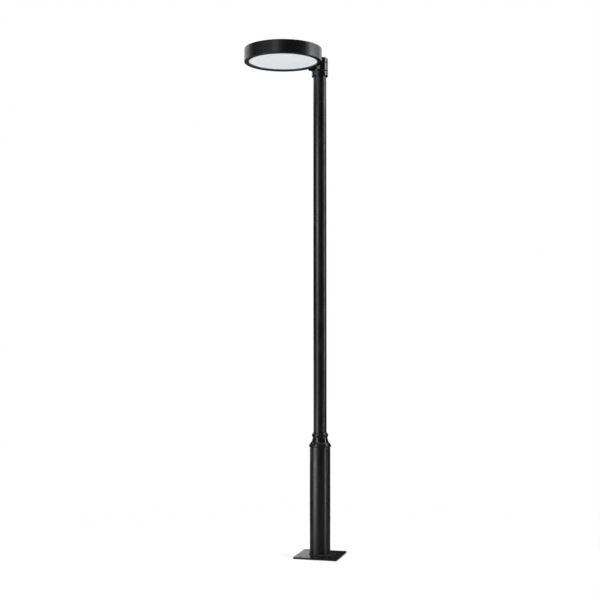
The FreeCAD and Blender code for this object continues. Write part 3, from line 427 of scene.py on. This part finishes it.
def make_materials():
    """One finish for each material slot of the record."""
    return {
        "black_coat": powder_coat("black_coat", 0.5),
        "black_coat_alloy": powder_coat("black_coat_alloy", 2.2),
        "gloss_black": cast_enamel(),
        "opal_acrylic": opal(),
        "screw_steel": bare_steel("screw_steel", (0.42, 0.42, 0.43), (0.58, 0.58, 0.59), (0.2, 0.34)),
        "black_screw": bare_steel("black_screw", (0.03, 0.03, 0.034), (0.07, 0.07, 0.075), (0.26, 0.4)),
        "galvanised": zinc(),
        "black_rubber": rubber(),
        "nylon": moulded("nylon", (0.06, 0.06, 0.064), (0.09, 0.09, 0.095), (0.42, 0.55), 0.0006, 0.4),
        "white_reflector": moulded("white_reflector", (0.84, 0.84, 0.85), (0.9, 0.9, 0.9),
                                   (0.45, 0.6), 0.0012, 0.35),
        "bare_aluminium": cast_aluminium(),
        "board_white": circuit_board(),
        "chip_yellow": phosphor(),
        "grey_plastic": moulded("grey_plastic", (0.27, 0.28, 0.29), (0.33, 0.34, 0.35),
                                (0.42, 0.52), 0.0009, 0.45),
        "white_plastic": moulded("white_plastic", (0.78, 0.78, 0.76), (0.85, 0.85, 0.84),
                                 (0.3, 0.4), 0.0009, 0.5),
        "stud_brass": brass(),
    }


def finish_nodes(materials):
    """Gives every CAD node the finish of its slot in the record."""
    for part in frame["record"]["subparts"]:
        mesh = nodes[part["node"]]
        for slot in mesh.material_slots:
            slot.material = materials[part["material_slot"]]


# ---------------------------------------------------------------- mesh pieces
def link_mesh(name, bm, body, slot_name, materials, smooth=True):
    """Makes an object of a bmesh, in its place on a body, with a slot's finish."""
    mesh = bpy.data.meshes.new(name)
    bmesh.ops.recalc_face_normals(bm, faces=bm.faces)
    bm.to_mesh(mesh)
    bm.free()
    for face in mesh.polygons:
        face.use_smooth = smooth
    piece = bpy.data.objects.new(name, mesh)
    bpy.context.scene.collection.objects.link(piece)
    mesh.materials.append(materials[slot_name])
    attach(piece, body)
    return piece


def swept_ring(sections):
    """Joins closed sections, lists of points with as many points each, into a closed ring."""
    bm = bmesh.new()
    rings = [[bm.verts.new(point) for point in section] for section in sections]
    for ring, following in zip(rings, rings[1:] + rings[:1]):
        for index, corner in enumerate(ring):
            after = (index + 1) % len(ring)
            bm.faces.new((corner, ring[after], following[after], following[index]))
    return bm


WELD_RIPPLES = 74
WELD_STEPS_PER_RIPPLE = 10
WELD_FACE_POINTS = 9
WELD_SINK = 0.5 * MM        # how far the bead's back lies inside the tube's wall
WELD_WOBBLE = 0.03          # how much the ripples' reach differs, as a share of the leg


def weld_section(angle, ripple, wobble, low, leg, tube_radius):
    """One slice across the bead: a rounded face from plate to tube, closed by two points inside the tube."""
    crest = math.sqrt(math.sin(math.pi * ripple))
    reach = leg * (0.86 + 0.14 * crest + wobble)
    points = []
    for step in range(WELD_FACE_POINTS):
        turn = math.pi / 2 * step / (WELD_FACE_POINTS - 1)
        swell = 0.72 + 0.16 * crest * math.sin(2 * turn) + 0.28 * abs(math.cos(2 * turn)) ** 1.5
        points.append((tube_radius + reach * swell * math.cos(turn), low + reach * swell * math.sin(turn)))
    points.append((tube_radius - WELD_SINK, low + 0.6 * leg))
    points.append((tube_radius - WELD_SINK, low))
    return [Vector((radius * math.cos(angle), radius * math.sin(angle), height)) for radius, height in points]


def make_weld(materials):
    """The fillet weld at the tube's foot, laid down in overlapping ripples by hand."""
    lowest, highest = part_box("foot_weld")
    tube_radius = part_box("lower_tube")[1].y
    leg = highest.z - lowest.z
    rng = random.Random(7)
    wobbles = [rng.uniform(-WELD_WOBBLE, WELD_WOBBLE) for _ in range(WELD_RIPPLES)]
    sections = []
    for index in range(WELD_RIPPLES):
        following = wobbles[(index + 1) % WELD_RIPPLES]
        for step in range(WELD_STEPS_PER_RIPPLE):
            ripple = step / WELD_STEPS_PER_RIPPLE
            wobble = wobbles[index] * (1 - ripple) + following * ripple
            angle = 2 * math.pi * (index + ripple) / WELD_RIPPLES
            sections.append(weld_section(angle, ripple, wobble, lowest.z, leg, tube_radius))
    weld = link_mesh("weld_bead", swept_ring(sections), "post", "black_coat", materials)
    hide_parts("foot_weld")


def rounded_outline(half_y, half_z, corner, points=6):
    """Points around an upright rectangle with round corners, about its middle."""
    spots = []
    for quarter, (side_y, side_z) in enumerate(((1, 1), (-1, 1), (-1, -1), (1, -1))):
        for step in range(points):
            turn = math.pi / 2 * (quarter + step / (points - 1))
            spots.append((side_y * (half_y - corner) + corner * math.cos(turn),
                          side_z * (half_z - corner) + corner * math.sin(turn)))
    return spots


def add_slab(bm, middle, half_y, half_z, corner, thick, edge):
    """A slab standing out along +X from its middle point: round corners and a bevelled front edge."""
    rings = []
    for forward, inset in ((0, 0), (thick - edge, 0), (thick - 0.3 * edge, 0.3 * edge), (thick, edge)):
        spots = rounded_outline(half_y - inset, half_z - inset, corner - inset)
        rings.append([bm.verts.new(middle + Vector((forward, y, z))) for y, z in spots])
    for ring, following in zip(rings, rings[1:]):
        for index, spot in enumerate(ring):
            after = (index + 1) % len(ring)
            bm.faces.new((spot, ring[after], following[after], following[index]))
    bm.faces.new(rings[0])
    bm.faces.new(rings[-1])


LID_THICK = 3.2 * MM
LID_INSET = 2.5 * MM        # from the edges of the box
LID_CORNER = 5 * MM
SCREW_INSET = 6 * MM        # from the edges of the lid
SCREW_RADIUS = 3 * MM
SCREW_HEIGHT = 1.6 * MM
CROSS_HALF = (2 * MM, 0.45 * MM)
CARRIER_SPOTS = (-14.5 * MM, 14.5 * MM)
CARRIER_HALF = (9 * MM, 24 * MM)
CARRIER_DEPTH = 5 * MM
GRIP_RIBS = 5
GRIP_PITCH = 4.2 * MM
RIB_HALF = (6.5 * MM, 1.1 * MM)


def make_fuse_lid(materials):
    """The front of the fuse box: its lid, four screws with a raised cross, and two pull-out fuse carriers."""
    lowest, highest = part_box("fuse_box")
    front = Vector((highest.x, 0, (lowest.z + highest.z) / 2))
    half_y, half_z = highest.y - LID_INSET, (highest.z - lowest.z) / 2 - LID_INSET
    lid = bmesh.new()
    add_slab(lid, front, half_y, half_z, LID_CORNER, LID_THICK, 1.2 * MM)
    screws = bmesh.new()
    face = front + Vector((LID_THICK, 0, 0))
    for side_y in (-1, 1):
        for side_z in (-1, 1):
            at = face + Vector((0, side_y * (half_y - SCREW_INSET), side_z * (half_z - SCREW_INSET)))
            add_slab(screws, at, SCREW_RADIUS, SCREW_RADIUS, 2.99 * MM, SCREW_HEIGHT, 0.6 * MM)
            top = at + Vector((SCREW_HEIGHT, 0, 0))
            for half in (CROSS_HALF, CROSS_HALF[::-1]):
                add_slab(screws, top, *half, 0.4 * MM, 0.25 * MM, 0.1 * MM)
    carriers = bmesh.new()
    for across in CARRIER_SPOTS:
        at = face + Vector((0, across, 0))
        add_slab(carriers, at, *CARRIER_HALF, 2.5 * MM, CARRIER_DEPTH, 1 * MM)
        for rib in range(GRIP_RIBS):
            up = (rib - (GRIP_RIBS - 1) / 2) * GRIP_PITCH
            rib_foot = at + Vector((CARRIER_DEPTH, 0, up))
            add_slab(carriers, rib_foot, *RIB_HALF, 1 * MM, 1.4 * MM, 0.5 * MM)
    link_mesh("fuse_box_lid", lid, "post", "grey_plastic", materials, smooth=False)
    link_mesh("fuse_lid_screws", screws, "post", "screw_steel", materials, smooth=False)
    link_mesh("fuse_carriers", carriers, "post", "white_plastic", materials, smooth=False)


# ---------------------------------------------------------------- floor
def make_floor():
    """A pale floor that fades into the backdrop."""
    bm = bmesh.new()
    bmesh.ops.create_circle(bm, cap_ends=True, segments=96, radius=FLOOR_RADIUS)
    mesh = bpy.data.meshes.new("floor")
    bm.to_mesh(mesh)
    bm.free()
    floor = bpy.data.objects.new("floor", mesh)
    bpy.context.scene.collection.objects.link(floor)
    f = Finish("pale_floor")
    f.set(base_color=f.blend(f.noise(0.4, 3), (0.80, 0.80, 0.80), (0.82, 0.82, 0.82)), roughness=0.9,
          specular_ior_level=0.0)
    distance = f.add("ShaderNodeVectorMath", operation="LENGTH")
    f.feed(distance.inputs[0], f.position)
    fade = f.ranged(distance.outputs["Value"], *FLOOR_FADE, 1.0, 0.0)
    mirrored = f.add("ShaderNodeLightPath").outputs["Is Glossy Ray"]
    f.set(alpha=f.math("MULTIPLY", fade, f.math("MULTIPLY_ADD", mirrored, FLOOR_MIRRORED - 1, 1.0)))
    mesh.materials.append(f.material)


add_camera()
add_world()
add_lights()
finishes = make_materials()
finish_nodes(finishes)
make_weld(finishes)
make_fuse_lid(finishes)
make_floor()
bpy.context.scene.view_settings.view_transform = "Standard"
